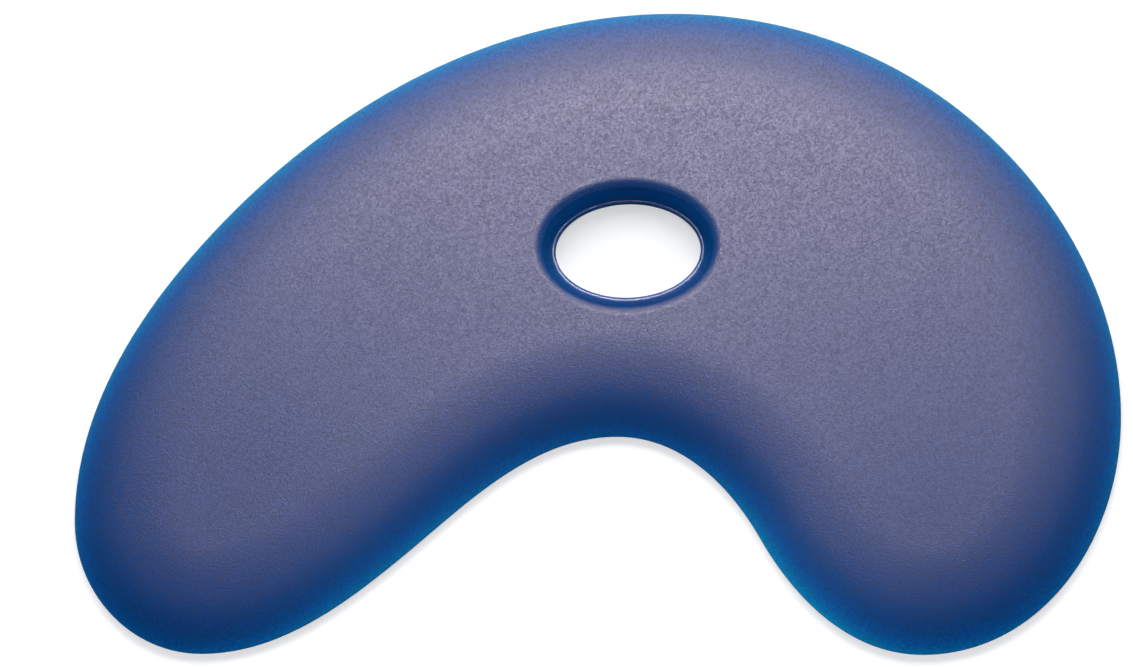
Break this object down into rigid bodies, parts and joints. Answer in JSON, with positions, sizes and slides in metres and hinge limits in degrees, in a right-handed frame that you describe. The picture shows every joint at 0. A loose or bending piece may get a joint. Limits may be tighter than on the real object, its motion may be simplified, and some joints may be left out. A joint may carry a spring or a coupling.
{
  "type": "pottery rib",
  "caption": "Kidney-shaped potter's rib of flexible translucent rubber: flat back, tapered working edge all round and an oval finger hole with a funnel mouth.",
  "frame": {"origin": "middle of the flat back: halfway along the length and the width of the outline", "axes": "+X along the rib towards the round nose, +Y from the feet towards the crown of the back, +Z out of the flat back through the thickness"},
  "size_m": [0.1238, 0.0762, 0.0064],
  "materials": {
    "blue_rubber": "translucent deep blue polyurethane rubber with a fine satin grain, paler and more see-through at the thin rim"
  },
  "bodies": {
    "root": {"rib_body": "blue_rubber"}
  },
  "joints": []
}
